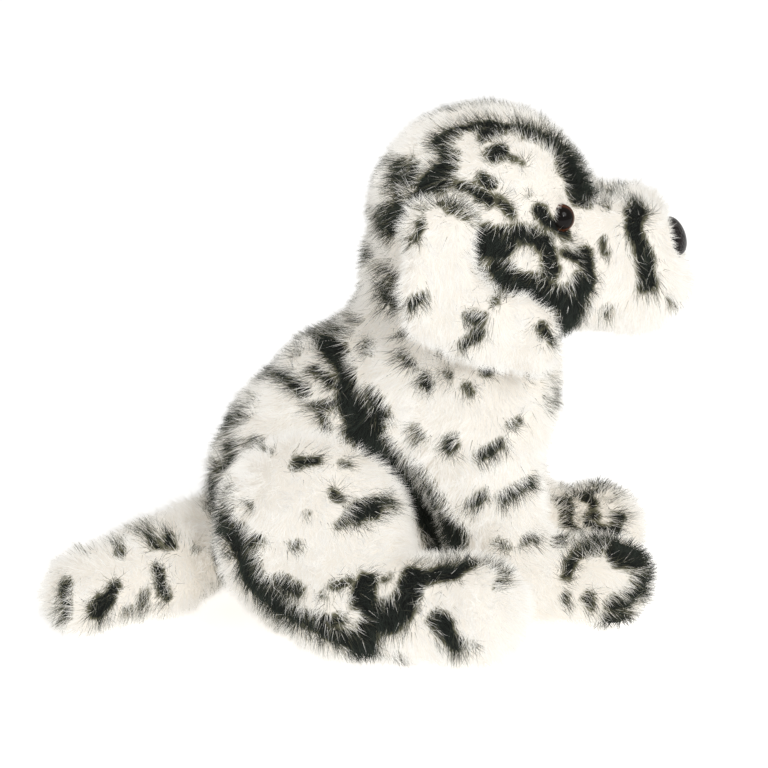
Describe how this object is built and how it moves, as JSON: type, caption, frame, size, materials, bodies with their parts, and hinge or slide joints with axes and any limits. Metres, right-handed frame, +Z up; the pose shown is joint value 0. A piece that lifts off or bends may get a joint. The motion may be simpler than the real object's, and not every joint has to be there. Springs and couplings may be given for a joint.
{
  "type": "plush dog",
  "caption": "Sitting stuffed plush dog with hanging ears, spotted long-pile fur and sewn-on legs and tail that swing at their seams.",
  "frame": {"origin": "on the floor, in the middle of the dog's bounding box", "axes": "+Z up, +Y towards the tail, so the dog faces -Y; +X towards the dog's left side"},
  "size_m": [0.236, 0.3372, 0.272],
  "materials": {
    "fur": "long-pile plush, white with near-black spots",
    "ear_lining": "short-pile plush, white",
    "stuffing": "loose polyester fibre",
    "pouch_cloth": "plain woven cloth",
    "pellets": "polyethylene beads",
    "eye": "glossy, amber rim round a black pupil",
    "nose": "glossy black with a fine pebbled face",
    "washer": "moulded polyethylene",
    "thread": "black embroidery thread",
    "seam_thread": "white sewing thread"
  },
  "bodies": {
    "torso": {"torso_side_left": "fur", "torso_side_right": "fur", "belly_panel": "fur", "torso_stuffing": "stuffing", "bean_pouch": "pouch_cloth", "bean_pellets": "pellets", "back_stitches": "seam_thread"},
    "neck": {"neck_stuffing": "stuffing"},
    "head": {"crown_gusset": "fur", "chin_panel": "fur", "head_side_left": "fur", "head_side_right": "fur", "head_stuffing": "stuffing", "eye_left": "eye", "eye_right": "eye", "eye_left_washer": "washer", "eye_right_washer": "washer", "nose": "nose", "nose_washer": "washer", "mouth_thread": "thread"},
    "ear_left": {"ear_outer_left": "fur", "ear_lining_left": "ear_lining"},
    "ear_right": {"ear_outer_right": "fur", "ear_lining_right": "ear_lining"},
    "front_leg_left": {"front_leg_outer_panel_left": "fur", "front_leg_inner_panel_left": "fur", "front_leg_stuffing_left": "stuffing"},
    "front_leg_right": {"front_leg_outer_panel_right": "fur", "front_leg_inner_panel_right": "fur", "front_leg_stuffing_right": "stuffing"},
    "hind_leg_left": {"hind_leg_outer_panel_left": "fur", "hind_leg_inner_panel_left": "fur", "hind_leg_stuffing_left": "stuffing"},
    "hind_leg_right": {"hind_leg_outer_panel_right": "fur", "hind_leg_inner_panel_right": "fur", "hind_leg_stuffing_right": "stuffing"},
    "tail": {"tail_upper_panel": "fur", "tail_lower_panel": "fur", "tail_stuffing": "stuffing"}
  },
  "joints": [
    {"name": "head_nod", "type": "hinge", "parent": "torso", "child": "neck", "pos_m": [0, -0.05, 0.168], "axis": [1, 0, 0], "range_deg": [-15, 8], "stiffness_Nm_per_rad": 1.2},
    {"name": "head_turn", "type": "hinge", "parent": "neck", "child": "head", "pos_m": [0, -0.05, 0.168], "axis": [0, -0.2326, 0.9726], "range_deg": [-25, 25], "stiffness_Nm_per_rad": 0.8},
    {"name": "ear_left_flap", "type": "hinge", "parent": "head", "child": "ear_left", "pos_m": [0.053, -0.042, 0.241], "axis": [0, -1, 0], "range_deg": [0, 80], "stiffness_Nm_per_rad": 0.02},
    {"name": "ear_right_flap", "type": "hinge", "parent": "head", "child": "ear_right", "pos_m": [-0.053, -0.042, 0.241], "axis": [0, 1, 0], "range_deg": [0, 80], "stiffness_Nm_per_rad": 0.02},
    {"name": "front_leg_left_swing", "type": "hinge", "parent": "torso", "child": "front_leg_left", "pos_m": [0.03, -0.054, 0.118], "axis": [-1, 0, 0], "range_deg": [0, 45], "stiffness_Nm_per_rad": 0.3},
    {"name": "front_leg_right_swing", "type": "hinge", "parent": "torso", "child": "front_leg_right", "pos_m": [-0.03, -0.054, 0.118], "axis": [-1, 0, 0], "range_deg": [0, 45], "stiffness_Nm_per_rad": 0.3},
    {"name": "hind_leg_left_lift", "type": "hinge", "parent": "torso", "child": "hind_leg_left", "pos_m": [0.04, 0.033, 0.06], "axis": [-1, 0, 0], "range_deg": [0, 18], "stiffness_Nm_per_rad": 0.4},
    {"name": "hind_leg_right_lift", "type": "hinge", "parent": "torso", "child": "hind_leg_right", "pos_m": [-0.04, 0.033, 0.06], "axis": [-1, 0, 0], "range_deg": [0, 18], "stiffness_Nm_per_rad": 0.4},
    {"name": "tail_wag", "type": "hinge", "parent": "torso", "child": "tail", "pos_m": [0, 0.082, 0.02], "axis": [0, 0, 1], "range_deg": [-65, 20], "stiffness_Nm_per_rad": 0.1}
  ]
}
